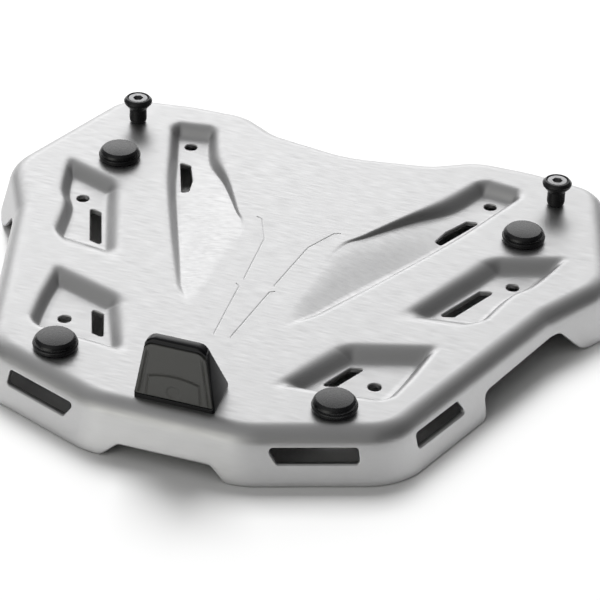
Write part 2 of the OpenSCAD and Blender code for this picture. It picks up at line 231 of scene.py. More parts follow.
SIDE_FOOT = np.array([107.0, -122.0])
SIDE_HEAD = np.array([149.0, 11.0])
SIDE_CUT = open_curve(
    [(40, 0, 0), (70.6, 0, 4), (72.2, 14.3, 6), (144.5, 16.4, 7), (160, 0, 14), (190, 0, 0)]
)
SIDE_CUT_FROM = 110
REAR_NOTCH = open_curve([(0, 7.7, 0), (25.5, 7.7, 4), (34.5, 0, 5), (60, 0, 0)])
MAX_RISE = 0.8
RUN_AT_BEND = BEND_R * math.cos(LEAN)
BEND_END = TOP - BEND_R * (1 - math.sin(LEAN))
RUN = RUN_AT_BEND + BEND_END * math.tan(LEAN)


def edge_height(points, normals):
    """Height of the lower edge at each point of the bend line."""
    foot = points + normals * RUN
    mirrored = np.stack([np.abs(foot[:, 0]), foot[:, 1]], 1)
    along = (mirrored - SIDE_FOOT) @ unit(SIDE_HEAD - SIDE_FOOT)
    side = np.interp(along, SIDE_CUT[:, 0], SIDE_CUT[:, 1])
    side[mirrored[:, 0] < SIDE_CUT_FROM] = 0
    rear = np.interp(mirrored[:, 0], REAR_NOTCH[:, 0], REAR_NOTCH[:, 1])
    rear[foot[:, 1] > REAR] = 0
    return np.maximum(side, rear)


def refined(points, normals, rise):
    """The same outline with points added wherever the lower edge rises faster than this."""
    while True:
        heights = edge_height(points, normals)
        steep = np.abs(np.roll(heights, -1) - heights) > rise
        if not steep.any():
            return points, normals, heights
        between = (points + np.roll(points, -1, 0)) / 2
        leaning = normals + np.roll(normals, -1, 0)
        leaning /= np.linalg.norm(leaning, axis=1)[:, None]
        where = np.flatnonzero(steep) + 1
        points = np.insert(points, where, between[steep], 0)
        normals = np.insert(normals, where, leaning[steep], 0)


line, line_normals, edge = refined(line, line_normals, MAX_RISE)
print("with the cut-outs it has", len(line), "points")

# %% [markdown]
# ## The skirt
# In section the sheet runs off the flat top, round the bend, down the leaning skirt, round its
# rolled lower edge and back up on the inside. Each step of that section is one ring.

# %% The section of the skirt, ring by ring
FLAT_BORDER = 0.6
EDGE_R = 1.35
BEND_STEPS = 10
SKIRT_STEPS = 5
ROLL_STEPS = 5
WALL = SHEET / math.cos(LEAN)


def wall_run(z):
    """How far the outside of the skirt lies outside the bend line at height z."""
    return RUN_AT_BEND + (BEND_END - z) * math.tan(LEAN)


def bend_rings(radius):
    """Rings round the bend, from the flat top down: pairs of run and height."""
    angles = np.linspace(0, math.pi / 2 - LEAN, BEND_STEPS + 1)
    return [(radius * math.sin(a), TOP - BEND_R + radius * math.cos(a)) for a in angles]


def skirt_rings(heights):
    """Rings over the outside and back up the inside, as arrays of run and height."""
    one = np.ones_like(heights)
    rings = [(-FLAT_BORDER * one, TOP * one)]
    rings += [(run * one, z * one) for run, z in bend_rings(BEND_R)]
    rolls = np.linspace(0, math.pi / 2, ROLL_STEPS + 1)
    for k in range(1, SKIRT_STEPS):
        z = BEND_END + (heights + EDGE_R - BEND_END) * k / SKIRT_STEPS
        rings.append((wall_run(z), z))
    for a in rolls:
        z = heights + EDGE_R * (1 - math.sin(a))
        rings.append((wall_run(z) - EDGE_R * (1 - math.cos(a)), z))
    for a in rolls[::-1]:
        z = heights + EDGE_R * (1 - math.sin(a))
        rings.append((wall_run(z) - WALL + EDGE_R * (1 - math.cos(a)), z))
    inner = bend_rings(BEND_R - SHEET)[::-1]
    for k in range(1, SKIRT_STEPS):
        z = heights + EDGE_R + (inner[0][1] - heights - EDGE_R) * k / SKIRT_STEPS
        rings.append((wall_run(z) - WALL, z))
    rings += [(run * one, z * one) for run, z in inner]
    rings.append((-FLAT_BORDER * one, (TOP - SHEET) * one))
    return rings


rings = skirt_rings(edge)
skirt_points = np.concatenate(
    [np.column_stack([line + line_normals * run[:, None], z]) for run, z in rings]
)
skirt_faces = grid_faces(len(rings), len(line), closed=True)
top_loop = skirt_points[: len(line)]
inside_from = (SKIRT_STEPS + BEND_STEPS + 2 * ROLL_STEPS + 2) * len(line)
print("the skirt has", len(rings), "rings and", len(skirt_faces), "quads")

# %% [markdown]
# ## The pressed pockets
# Six pockets are pressed into the top. Each is a grid: rows run from its front wall to its rear,
# and columns run down the inner wall, over the floor and up the outer wall. A pressed wall has no
# sharp edge at its rim or its foot, so the depth follows an S-curve. The two front pockets
# are long valleys that fade out towards the catch. A station is one listed row: its
# inner rim, inner foot, outer foot and outer rim, and how deep it is at the two feet.

# %% Stations of the pockets
WALL_STEPS = 12
FLOOR_STEPS = 10
SOFT_RIM = 3
RIM_POWER = 1.8
STATION_STEPS = 8
FRONT_POCKET = [
    ((82, 136), (88, 136), (105, 133), (112, 129.5), (0, 0)),
    ((78, 128), (86, 126), (103, 124), (109, 121), (1, 1)),
    ((67, 103), (76, 101), (94, 100), (101, 98), (1, 1)),
    ((53, 77), (59, 80), (82, 66), (89, 65), (0.72, 1)),
    ((38, 49), (41, 51), (65, 25), (71, 24), (0.3, 0.86)),
    ((29, 30), (30, 30), (51, -8), (56, -9), (0.04, 0.55)),
    ((26, -15), (27, -15), (39, -37), (42, -38), (0, 0.27)),
    ((23, -52), (24, -54), (26, -59), (27, -60), (0, 0)),
]
MIDDLE_POCKET = [
    ((107, 53), (119, 57), (146, 68), (154, 71.5), (0, 0)),
    ((104, 43), (119, 46.5), (143, 56), (151, 61), (1, 1)),
    ((99.5, 29), (113, 30.5), (136.5, 37), (143, 34), (1, 1)),
    ((95, 17), (108, 18.5), (128, 21), (134.5, 19), (1, 1)),
    ((83, -15), (96.5, -10), (122, -6), (128, -8), (1, 1)),
    ((77, -31), (90, -27), (113, -24), (121, -21), (0, 0)),
]
REAR_POCKET = [
    ((60, -61), (70, -57.5), (106, -45), (113, -42.5), (0, 0)),
    ((57, -69), (71.5, -68.5), (103.5, -56.5), (111, -52), (1, 1)),
    ((51, -83), (65, -82), (101, -78), (107.5, -77), (1, 1)),
    ((43, -104), (55.5, -101), (97.5, -97), (104, -97), (1, 1)),
    ((37, -118), (48, -113), (92, -108), (100, -107), (0, 0)),
]


# %% Rows between the stations
def s_curve(t):
    """A soft step from 0 to 1."""
    return t * t * (3 - 2 * t)


def wall_fall(t):
    """Depth down a wall, from its long soft rim (0) to its tighter foot (1)."""
    return s_curve(t**RIM_POWER)


def widened(stations):
    """The stations with their rims moved outwards, to make room for the soft rim."""
    s = np.array([np.array(station, float) for station in stations])
    for row in s:
        row[0] += unit(row[0] - row[1]) * SOFT_RIM
        row[3] += unit(row[3] - row[2]) * SOFT_RIM
    for end, beside in ((0, 1), (-1, -2)):
        way = s[end] - s[beside]
        way[4] = 0
        s[end] += way * SOFT_RIM / np.linalg.norm(way[1])
    return s


def station_rows(stations):
    """Rows (inner rim, inner foot, outer foot, outer rim, depths) through the stations."""
    s = widened(stations)
    last = len(s) - 1
    rows = []
    for k in range(WALL_STEPS):
        t = k / WALL_STEPS
        row = s[0] + (s[1] - s[0]) * t
        row[4] = s[1][4] * wall_fall(t)
        rows.append(row)
    for i in range(1, last - 1):
        a = s[max(i - 1, 1)]
        b = s[i]
        c = s[i + 1]
        d = s[min(i + 2, last - 1)]
        for k in range(STATION_STEPS):
            t = k / STATION_STEPS
            row = 2 * b + (c - a) * t + (2 * a - 5 * b + 4 * c - d) * t**2
            row += (3 * b - a - 3 * c + d) * t**3
            rows.append(row / 2)
    for k in range(WALL_STEPS + 1):
        t = k / WALL_STEPS
        row = s[last - 1] + (s[last] - s[last - 1]) * t
        row[4] = s[last][4] + (s[last - 1][4] - s[last][4]) * wall_fall(1 - t)
        rows.append(row)
    return rows


def across(row):
    """Points across a pocket: a narrow flat border, the wall, the floor, the wall and a border."""
    rim_in, foot_in, foot_out, rim_out, depths = row
    d_in, d_out = np.maximum(depths, 0) * POCKET_DEPTH
    points = [(*(rim_in + unit(rim_in - foot_in) * FLAT_BORDER), TOP)]
    for t in np.linspace(0, 1, WALL_STEPS + 1):
        points.append((*(rim_in + (foot_in - rim_in) * t), TOP - d_in * wall_fall(t)))
    for t in np.linspace(0, 1, FLOOR_STEPS + 1)[1:]:
        z = TOP - d_in - (d_out - d_in) * t * t * (2 - t)
        points.append((*(foot_in + (foot_out - foot_in) * t), z))
    for t in np.linspace(0, 1, WALL_STEPS + 1)[1:]:
        points.append((*(foot_out + (rim_out - foot_out) * t), TOP - d_out * wall_fall(1 - t)))
    points.append((*(rim_out + unit(rim_out - foot_out) * FLAT_BORDER), TOP))
    return points


def pocket_grid(stations):
    """A pocket's surface as rows and columns of points, with a flat border all round."""
    grid = np.array([across(row) for row in station_rows(stations)])
    first = grid[0] + (grid[0] - grid[1]) * FLAT_BORDER / 2
    final = grid[-1] + (grid[-1] - grid[-2]) * FLAT_BORDER / 2
    first[:, 2] = TOP
    final[:, 2] = TOP
    return np.concatenate([first[None], grid, final[None]])


def rim_loop(grid):
    """Points round the border of a grid."""
    return np.concatenate([grid[0, :-1], grid[:-1, -1], grid[-1, :0:-1], grid[:0:-1, 0]])


MIRROR = np.array([-1, 1, 1])
right_pockets = [pocket_grid(s) for s in (FRONT_POCKET, MIDDLE_POCKET, REAR_POCKET)]
pockets = right_pockets + [grid * MIRROR for grid in right_pockets]
print("pocket grids:", [grid.shape[:2] for grid in right_pockets])

# %% [markdown]
# ## The flat top between the pockets
# What is left of the top is one flat field with six holes in it. A constrained triangulation
# fills it exactly up to the pockets' borders and the bend. Two fine V-shaped lines are drawn
# into the middle of the real plate. Their edges and their bottom are part of the same
# triangulation, and only their bottom is set lower.

# %% The creases, and a test for points inside a loop
CREASE_W = 0.9
CREASE_DEPTH = 0.22
CREASE_STEP = 2.5
CREASE_END = 0.3
CREASE_MARGIN = 0.35
CREASES = [
    [(25.2, 45.4), (21.8, 44), (13, 24), (8.9, -21)],
    [(11.4, -26.2), (8.8, -28), (4.7, -78.5)],
]


def inside(points, loop):
    """Which of the points lie inside a closed loop in plan."""
    x, y = points[:, 0], points[:, 1]
    hit = np.zeros(len(points), bool)
    for (x1, y1), (x2, y2) in zip(loop[:, :2], np.roll(loop[:, :2], -1, 0)):
        if y1 == y2:
            continue
        crosses = (y1 > y) != (y2 > y)
        hit ^= crosses & (x < x1 + (y - y1) * (x2 - x1) / (y2 - y1))
    return hit


def crease_loops(path, side):
    """The line along a crease's bottom, and closed loops round its rim and just outside that."""
    corners = np.array(path) * (side, 1)
    spine = [corners[0]]
    for a, b in zip(corners, corners[1:]):
        steps = max(1, round(np.linalg.norm(b - a) / CREASE_STEP))
        spine += [a + (b - a) * k / steps for k in range(1, steps + 1)]
    spine = np.array(spine)
    ways = np.gradient(spine, axis=0)
    ways /= np.linalg.norm(ways, axis=1)[:, None]
    off = np.stack([-ways[:, 1], ways[:, 0]], 1)
    loops = []
    for margin in (0, CREASE_MARGIN):
        half = CREASE_W / 2 + margin
        reach = CREASE_END + margin
        start = spine[:1] - ways[:1] * reach
        end = spine[-1:] + ways[-1:] * reach
        loops.append(np.concatenate([start, spine - off * half, end, (spine + off * half)[::-1]]))
    return loops, spine


# %% Fill the flat field
FIELD_REACH = 180
FIELD_STEP = 9
INSIDE_ONLY = 1
SAME_PLACE = 1e-5


def flat_field(level, creases):
    """Points and triangles of the flat field at a level, with creases in it."""
    coords = []
    edges = []
    bottoms = []

    def add_loop(points):
        first = len(coords)
        coords.extend(tuple(p[:2]) for p in points)
        edges.extend((first + i, first + (i + 1) % len(points)) for i in range(len(points)))

    add_loop(top_loop)
    for grid in pockets:
        add_loop(rim_loop(grid))
    for path in creases:
        for side in (-1, 1):
            loops, spine = crease_loops(path, side)
            for loop in loops:
                add_loop(loop)
            chain = list(range(len(coords), len(coords) + len(spine)))
            coords += [tuple(p) for p in spine]
            edges += list(zip(chain, chain[1:]))
            bottoms += chain
    ticks = np.arange(-FIELD_REACH, FIELD_REACH + 1, FIELD_STEP)
    seeds = [(x + (j % 2) * FIELD_STEP / 2, y) for j, y in enumerate(ticks) for x in ticks]
    seeds = np.array(seeds, float)
    keep = inside(seeds, top_loop)
    for grid in pockets:
        keep &= ~inside(seeds, rim_loop(grid))
    fixed = np.array(coords)
    for i in np.flatnonzero(keep):
        keep[i] = np.min(np.hypot(*(fixed - seeds[i]).T)) > FIELD_STEP / 3
    coords += [tuple(p) for p in seeds[keep]]
    made = delaunay_2d_cdt([Vector(c) for c in coords], edges, [], INSIDE_ONLY, SAME_PLACE)
    flat = np.array([tuple(v) for v in made[0]])
    triangles = np.array([f for f in made[2] if len(f) == 3])
    middles = flat[triangles].mean(1)
    wanted = inside(middles, top_loop)
    for grid in pockets:
        wanted &= ~inside(middles, rim_loop(grid))
    z = np.full(len(flat), float(level))
    for new, old in enumerate(made[3]):
        if set(old) & set(bottoms):
            z[new] -= CREASE_DEPTH
    return np.column_stack([flat, z]), triangles[wanted]


upper_points, upper_triangles = flat_field(TOP, CREASES)
lower_points, lower_triangles = flat_field(TOP - SHEET, [])
print("triangles in the flat field:", len(upper_triangles), "above,", len(lower_triangles), "below")

# %% Join skirt, field and pockets into one closed sheet
all_points = [skirt_points, upper_points, lower_points]
all_faces = list(skirt_faces)
face_slots = [int(i >= inside_from) for i in range(len(skirt_faces))]
count = len(skirt_points)
all_faces += [tuple(t + count) for t in upper_triangles]
count += len(upper_points)
all_faces += [tuple(t[::-1] + count) for t in lower_triangles]
count += len(lower_points)
face_slots += [0] * len(upper_triangles) + [1] * len(lower_triangles)
for grid in pockets:
    rows, columns = grid.shape[:2]
    for drop in (0, SHEET):
        all_points.append(grid.reshape(-1, 3) - (0, 0, drop))
        quads = grid_faces(rows, columns, count, flip=drop > 0)
        all_faces += quads
        face_slots += [int(drop > 0)] * len(quads)
        count += rows * columns
sheet = make_mesh("aluminium_sheet", np.concatenate(all_points), all_faces)
# Two stand-ins hold the slots, so that the cut keeps each face's slot. The finishes come later.
for name in ("outside", "inside"):
    sheet.data.materials.append(bpy.data.materials.new(name))
sheet.data.polygons.foreach_set("material_index", face_slots)
print("open edges left in the sheet:", clean(sheet))

# %% [markdown]
# ## Slots and holes with soft edges
# A punched hole in a brushed and anodised sheet catches light all round its edge, because the
# edge is slightly rounded. A plain boolean gives a knife edge. So each cutter flares out at both
# faces of the sheet, in a quarter circle, and leaves that rounding behind.

# %% Cutters that flare at both faces
FLARE = 0.8
FLARE_STEPS = 4
FLARE_START = 0.12
OVERRUN = 1.5
CUT_SPACING = 0.8
RAY_START = 0.1


def flare_profile(thickness):
    """Pairs of outward growth and depth below the face, right through the sheet."""
    angles = np.linspace(FLARE_START, math.pi / 2, FLARE_STEPS + 1)
    grow = FLARE * (1 - np.sin(angles))
    depth = FLARE * (1 - np.cos(angles))
    upper = [(grow[0], -OVERRUN), *zip(grow, depth)]
    lower = [(g, thickness - d) for g, d in zip(grow[::-1], depth[::-1])]
    return [*upper, *lower, (grow[0], thickness + OVERRUN)]


def tube(rings):
    """Points and faces of a closed tube through rings of equal length."""
    n = len(rings[0])
    faces = grid_faces(len(rings), n, closed=True)
    faces.append(list(range(n))[::-1])
    faces.append([(len(rings) - 1) * n + i for i in range(n)])
    return np.concatenate(rings), faces


surface = BVHTree.FromObject(sheet, bpy.context.evaluated_depsgraph_get())


def level_at(x, y):
    """Height of the sheet's upper face at a place."""
    hit = surface.ray_cast(Vector((x * MM, y * MM, RAY_START)), Vector((0, 0, -1)))[0]
    return hit.z / MM


def down_cutter(corners):
    """A cutter that goes down through the sheet and follows the face it starts from."""
    points, normals = outline(corners, CUT_SPACING, fill=False)
    levels = np.array([level_at(x, y) for x, y in points])
    profile = flare_profile(SHEET)
    return tube([np.column_stack([points + normals * g, levels - d]) for g, d in profile])


def round_hole(x, y, diameter):
    """A round hole, as an outline with four quarter-circle corners."""
    r = diameter / 2
    return [(x + r, y + r, r), (x - r, y + r, r), (x - r, y - r, r), (x + r, y - r, r)]


def face_cutter(foot, head, corners, side):
    """A cutter that goes level through the leaning skirt. Corners are (along, height, radius)."""
    along = unit(head - foot)
    outward = np.array([along[1], -along[0]])
    points, normals = outline(corners, CUT_SPACING, fill=False)
    rings = []
    for g, d in flare_profile(WALL):
        p = points + normals * g
        run = wall_run(p[:, 1]) - d
        plan = foot + p[:, :1] * along + run[:, None] * outward
        rings.append(np.column_stack([plan[:, 0] * side, plan[:, 1], p[:, 1]]))
    return tube(rings)


# %% Where the openings are
SLOT_R = 1.2
POCKET_SLOTS = [
    [(92, 97), (85, 95.5), (77.5, 79), (75, 66.5), (78.7, 64.5)],
    [(120.8, 28.6), (113.2, 26.1), (99.6, -6.4), (107.3, -4)],
    [(78.2, -70.4), (70.6, -72.9), (61.9, -94.2), (69.2, -91.9)],
]
FIX_HOLES = [(92.9, 116.8), (129, 37), (88.3, -85)]
FIX_HOLE_D = 7
PAD_HOLE_D = 8
PIN_HOLE_D = 6.6
CATCH_HOLE_D = 5.4
SKIRT_SLOT_R = 1.8
CHAMFER_SLOT = [(15.5, 12.5), (58, 12.5), (57, 20.9), (9.8, 20.9)]
SIDE_SLOT = [(11, 12.8), (54.5, 12.5), (49, 21), (11, 21.2)]
CHAMFER_FOOT = np.array([40.0, REAR])
SKIRT_SLOTS = [(CHAMFER_SLOT, CHAMFER_FOOT, SIDE_FOOT), (SIDE_SLOT, SIDE_FOOT, SIDE_HEAD)]
ROUND_HOLES = [(PAD_PLACES, PAD_HOLE_D), (PIN_PLACES, PIN_HOLE_D), (CATCH_SCREWS, CATCH_HOLE_D)]

cutters = []
for side in (-1, 1):
    for slot in POCKET_SLOTS:
        corners = [(side * x, y, SLOT_R) for x, y in slot]
        cutters.append(down_cutter(corners if side > 0 else corners[::-1]))
    for x, y in FIX_HOLES:
        cutters.append(down_cutter(round_hole(side * x, y, FIX_HOLE_D)))
    for slot, foot, head in SKIRT_SLOTS:
        cutters.append(face_cutter(foot, head, [(x, z, SKIRT_SLOT_R) for x, z in slot], side))
for places, diameter in ROUND_HOLES:
    for x, y in places:
        cutters.append(down_cutter(round_hole(x, y, diameter)))


# %% Make the openings
def cut(piece, shapes):
    """Takes closed shapes, given as points and faces, out of a piece."""
    points = []
    faces = []
    count = 0
    for shape_points, shape_faces in shapes:
        points.append(shape_points)
        faces += [[i + count for i in face] for face in shape_faces]
        count += len(shape_points)
    tool = make_mesh("cutter", np.concatenate(points), faces)
    clean(tool, CUTTER_GAP)
    modifier = piece.modifiers.new("cut", "BOOLEAN")
    modifier.operation = "DIFFERENCE"
    modifier.solver = "MANIFOLD"
    modifier.object = tool
    baked(piece)
    remove(tool)


cut(sheet, cutters)
print("made", len(cutters), "openings; open edges:", clean(sheet, FINE_GAP))
smooth(sheet, angle=40)
print("the sheet has", sum(len(p.vertices) - 2 for p in sheet.data.polygons), "triangles")

# %% [markdown]
# ## Turned and moulded parts
# Pads, pins and screws are bodies of revolution. Each is a profile turned about the axis, and each
# corner of it is rounded with a radius of its own, because a moulded or turned corner is never
# perfectly sharp. The shape is made once, around the origin.


# %% Turn a profile
TURNED_STEPS = 96
TURNED_SPACING = 0.25


def lathe(name, corners, closed=False):
    """A turned shape from corners (radius, height, corner radius). A closed profile has a bore."""
    if closed:
        ring = outline(corners, TURNED_SPACING, fill=False)[0]
    else:
        ring = open_curve(corners, TURNED_SPACING)
    angles = np.linspace(0, 2 * math.pi, TURNED_STEPS, endpoint=False)
    points = [[(r * math.cos(a), r * math.sin(a), z) for r, z in ring] for a in angles]
    faces = []
    columns = len(ring)
    for i in range(TURNED_STEPS):
        j = (i + 1) % TURNED_STEPS
        for c in range(columns if closed else columns - 1):
            d = (c + 1) % columns
            faces.append([i * columns + c, j * columns + c, j * columns + d, i * columns + d])
    piece = make_mesh(name, np.concatenate(points), faces)
    clean(piece, FINE_GAP)
    smooth(piece)
    return piece


# %% The profiles of the pad, the pin and the screw
pad_shape = lathe(
    "pad_shape",
    [
        (0, 6.8, 0),
        (9.8, 6.8, 0.6),
        (11.1, 5.4, 0.7),
        (11.8, 4, 0.4),
        (11.3, 3.7, 0.12),
        (11.3, 3.4, 0.12),
        (12.3, 3.1, 0.6),
        (12, 1, 1),
        (11.2, 0, 0.3),
        (4, 0, 0.1),
        (4, -3, 0.1),
        (5.2, -3, 0.2),
        (5.2, -4.3, 0.3),
        (2.6, -9, 0.4),
        (0, -9, 0),
    ],
)
pin_shape = lathe(
    "pin_shape",
    [
        (3.3, 13.4, 0.05),
        (3.3, 0, 0.05),
        (4.3, 0, 0.2),
        (5, 1.4, 1),
        (5.2, 3, 1),
        (5.1, 9, 1.2),
        (6.4, 10.6, 1),
        (8.3, 13, 0.8),
        (8.5, 14.3, 0.5),
        (7.2, 15.8, 0.5),
        (6.8, 16, 0.2),
        (6.4, 16, 0.1),
        (6.4, 13.4, 0.05),
    ],
    closed=True,
)
screw_shape = lathe(
    "screw_shape",
    [
        (0, 15.9, 0),
        (5.5, 15.85, 0.5),
        (6.2, 15.2, 0.3),
        (6.2, 13.4, 0.1),
        (3, 13.4, 0.1),
        (3, -11.9, 0.2),
        (2.3, -12.6, 0.2),
        (0, -12.6, 0),
    ],
)

# %% The hexagon socket in a screw's head
SOCKET_AF = 5
SOCKET_CORNER_R = 0.12
SOCKET_SPACING = 0.1
SOCKET_SECTION = [(0, 13.9), (0, 15.6), (0.6, 16.2), (0.6, 17)]
reach = SOCKET_AF / math.sqrt(3)
angles = np.arange(6) * math.pi / 3
hexagon = [(reach * math.cos(a), reach * math.sin(a), SOCKET_CORNER_R) for a in angles]
hexagon_points, hexagon_normals = outline(hexagon, SOCKET_SPACING, fill=False)
socket_rings = [
    np.column_stack([hexagon_points + hexagon_normals * g, np.full(len(hexagon_points), z)])
    for g, z in SOCKET_SECTION
]
cut(screw_shape, [tube(socket_rings)])
smooth(screw_shape)

# %% [markdown]
# ## Setting out the copies with Geometry Nodes
# Four pads, two pins and two screws repeat one shape each. A small node tree puts the shape on
# every vertex of a mesh, turns each copy by a seeded random angle, as a fitter would leave it,
# and makes the copies real. The same tree serves all three.


# %% A node tree that places copies
def add_sockets(tree, in_out, **kinds):
    """Gives a node tree its named inputs or outputs, each of a kind such as Float."""
    for name, kind in kinds.items():
        tree.interface.new_socket(name, in_out=in_out, socket_type="NodeSocket" + kind)


def input_id(tree, name):
    """The identifier of a tree's input, by which a modifier is set."""
    return next(item.identifier for item in tree.interface.items_tree if item.name == name)


def build_set_out():
    """Puts the shape on every point, turned at random, and gives it its material."""
    tree = bpy.data.node_groups.new("set_out", "GeometryNodeTree")
    add_sockets(tree, "INPUT", Places="Geometry", Shape="Object", Turn="Float", Seed="Int")
    add_sockets(tree, "INPUT", Material="Material")
    add_sockets(tree, "OUTPUT", Copies="Geometry")
    given = tree.nodes.new("NodeGroupInput")
    result = tree.nodes.new("NodeGroupOutput")
    shape = tree.nodes.new("GeometryNodeObjectInfo")
    angle = tree.nodes.new("FunctionNodeRandomValue")
    turn = tree.nodes.new("ShaderNodeCombineXYZ")
    place = tree.nodes.new("GeometryNodeInstanceOnPoints")
    real = tree.nodes.new("GeometryNodeRealizeInstances")
    finish = tree.nodes.new("GeometryNodeSetMaterial")
    link = tree.links.new
    link(given.outputs["Shape"], shape.inputs["Object"])
    link(given.outputs["Turn"], angle.inputs[3])
    link(given.outputs["Seed"], angle.inputs["Seed"])
    link(angle.outputs[1], turn.inputs["Z"])
    link(given.outputs["Places"], place.inputs["Points"])
    link(shape.outputs["Geometry"], place.inputs["Instance"])
    link(turn.outputs["Vector"], place.inputs["Rotation"])
    link(place.outputs["Instances"], real.inputs["Geometry"])
    link(real.outputs["Geometry"], finish.inputs["Geometry"])
    link(given.outputs["Material"], finish.inputs["Material"])
    link(finish.outputs["Geometry"], result.inputs["Copies"])
    return tree


set_out = build_set_out()
FULL_TURN = 2 * math.pi
SEED = 3


def copies(name, shape, places, material):
    """One mesh with the shape at each place on the sheet. The shape is removed afterwards."""
    piece = make_mesh(name, [(x, y, TOP) for x, y in places], [])
    modifier = piece.modifiers.new("set_out", "NODES")
    modifier.node_group = set_out
    modifier[input_id(set_out, "Shape")] = shape
    modifier[input_id(set_out, "Turn")] = FULL_TURN
    modifier[input_id(set_out, "Seed")] = SEED
    modifier[input_id(set_out, "Material")] = material
    baked(piece)
    remove(shape)
    print(name, "has", len(piece.data.polygons), "faces in", len(places), "copies")
    return piece


# %% [markdown]
# ## The catch block
# The block is a hard moulding with soft edges all round. Its hull is wrapped round small balls
# that sit in its corners, which gives every edge the same rounding. The two upper corners get a
# bigger arc of balls. A cover panel sits in a pocket in its rear face.

# %% Wrap the block round balls
CATCH_LOW, CATCH_HIGH = (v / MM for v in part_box("catch_body"))
HALF_FOOT = CATCH_HIGH.x
HALF_FRONT = 20.5
HALF_TOP = 17.3
BALL = 1.5
BALL_STEPS = 8
SHOULDER = 6
SHOULDER_BALLS = 8
FOOT_H = 4
FOOT_BALL = 0.4
CATCH_H = CATCH_HIGH.z - TOP
LEAN_IN = 1.5
TOP_DEPTH = 6.4


def ball(x, y, z):
    """Points on a small ball round a place."""
    points = []
    for a in np.linspace(0, math.pi, BALL_STEPS + 1):
        reach = BALL * math.sin(a)
        level = z + BALL * math.cos(a)
        for b in np.linspace(0, 2 * math.pi, 2 * BALL_STEPS, endpoint=False):
            points.append((x + reach * math.cos(b), y + reach * math.sin(b), level))
    return points


def block_points():
    """Points on the balls in the block's corners, at its foot and round its shoulders."""
    rear = CATCH_LOW.y
    front = CATCH_HIGH.y
    points = []
    for side in (-1, 1):
        for half, y in ((HALF_FOOT, rear + BALL), (HALF_FRONT, front - BALL)):
            for z in (TOP + FOOT_BALL, TOP + FOOT_H - BALL):
                points += ball(side * (half - BALL), y, z)
        for a in np.linspace(0, math.pi / 2, SHOULDER_BALLS):
            x = HALF_TOP - SHOULDER + (SHOULDER - BALL) * math.cos(a)
            z = TOP + CATCH_H - SHOULDER + (SHOULDER - BALL) * math.sin(a)
            for y in (rear + LEAN_IN + BALL, rear + LEAN_IN + TOP_DEPTH - BALL):
                points += ball(side * x, y, z)
    return points


def hull_piece(name, points, floor_z):
    """The convex hull of the points, cut off level at the bottom."""
    bm = bmesh.new()
    for p in points:
        bm.verts.new(Vector(p) * MM)
    made = bmesh.ops.convex_hull(bm, input=bm.verts)
    unneeded = made["geom_interior"] + made["geom_unused"]
    spare = {g for g in unneeded if isinstance(g, bmesh.types.BMVert)}
    bmesh.ops.delete(bm, geom=list(spare), context="VERTS")
    everything = bm.verts[:] + bm.edges[:] + bm.faces[:]
    below = bmesh.ops.bisect_plane(
        bm, geom=everything, plane_co=(0, 0, floor_z * MM), plane_no=(0, 0, 1), clear_inner=True
    )
    rim = [e for e in below["geom_cut"] if isinstance(e, bmesh.types.BMEdge)]
    bmesh.ops.edgeloop_fill(bm, edges=rim)
    bmesh.ops.recalc_face_normals(bm, faces=bm.faces)
    mesh = bpy.data.meshes.new(name)
    bm.to_mesh(mesh)
    bm.free()
    piece = bpy.data.objects.new(name, mesh)
    bpy.context.scene.collection.objects.link(piece)
    return piece


catch_block = hull_piece("catch_block", block_points(), TOP)
print("the block has", len(catch_block.data.polygons), "faces")

# %% [markdown]
# ## The cover in the block
# The cover is a matt panel with moulded detail: a seam down each side, a raised tab with an
# arched top, and a shallow thumb dimple. Its face is a grid of points whose height above the
# block's face follows from those features, so every step has a soft moulded edge.

# %% The cover's outline
FACE_LEAN = math.atan2(LEAN_IN, CATCH_H)
COVER_FOOT = 3
COVER_HEAD = CATCH_H - 3
COVER_HALF_FOOT = HALF_FOOT - 0.9
COVER_HALF_HEAD = HALF_TOP - 1
COVER_CORNER = 5
COVER_T = 2.6
PROUD = 0.6


def cover_half_width(v):
    """Half the cover's width at height v, with its upper corners rounded."""
    t = (v - COVER_FOOT) / (COVER_HEAD - COVER_FOOT)
    straight = COVER_HALF_FOOT + (COVER_HALF_HEAD - COVER_HALF_FOOT) * t
    into = np.clip(v - (COVER_HEAD - COVER_CORNER), 0, COVER_CORNER)
    rounded = COVER_CORNER - np.sqrt(np.maximum(COVER_CORNER**2 - into**2, 0))
    foot = np.clip(COVER_FOOT + 1 - v, 0, 1)
    return straight - rounded - (1 - np.sqrt(1 - foot**2))


# %% The cover's relief
TAB_HALF_FOOT = 14.6
TAB_HALF_HEAD = 13.6
TAB_SIDE_H = 15
TAB_ARCH = 2.1
TAB_RISE = 0.6
TAB_SOFT = 0.8
SEAM_INSET = 2
SEAM_HALF_W = 0.3
SEAM_DEPTH = 0.5
SEAM_FADE = 4
BEAD_AWAY = 1
BEAD_HALF_W = 0.25
BEAD_SOFT = 0.5
BEAD_RISE = 0.3
GROOVE_AWAY = 0.7
GROOVE_HALF_W = 0.3
GROOVE_DEPTH = 0.35
CUT_SOFT = 0.4
DIMPLE_V = 8
DIMPLE_R = 3.6
DIMPLE_SOFT = 1.4
DIMPLE_DEPTH = 0.4


def step(distance, width):
    """A soft step from 0 to 1 over a width centred on zero distance."""
    return s_curve(np.clip(distance / width + 0.5, 0, 1))


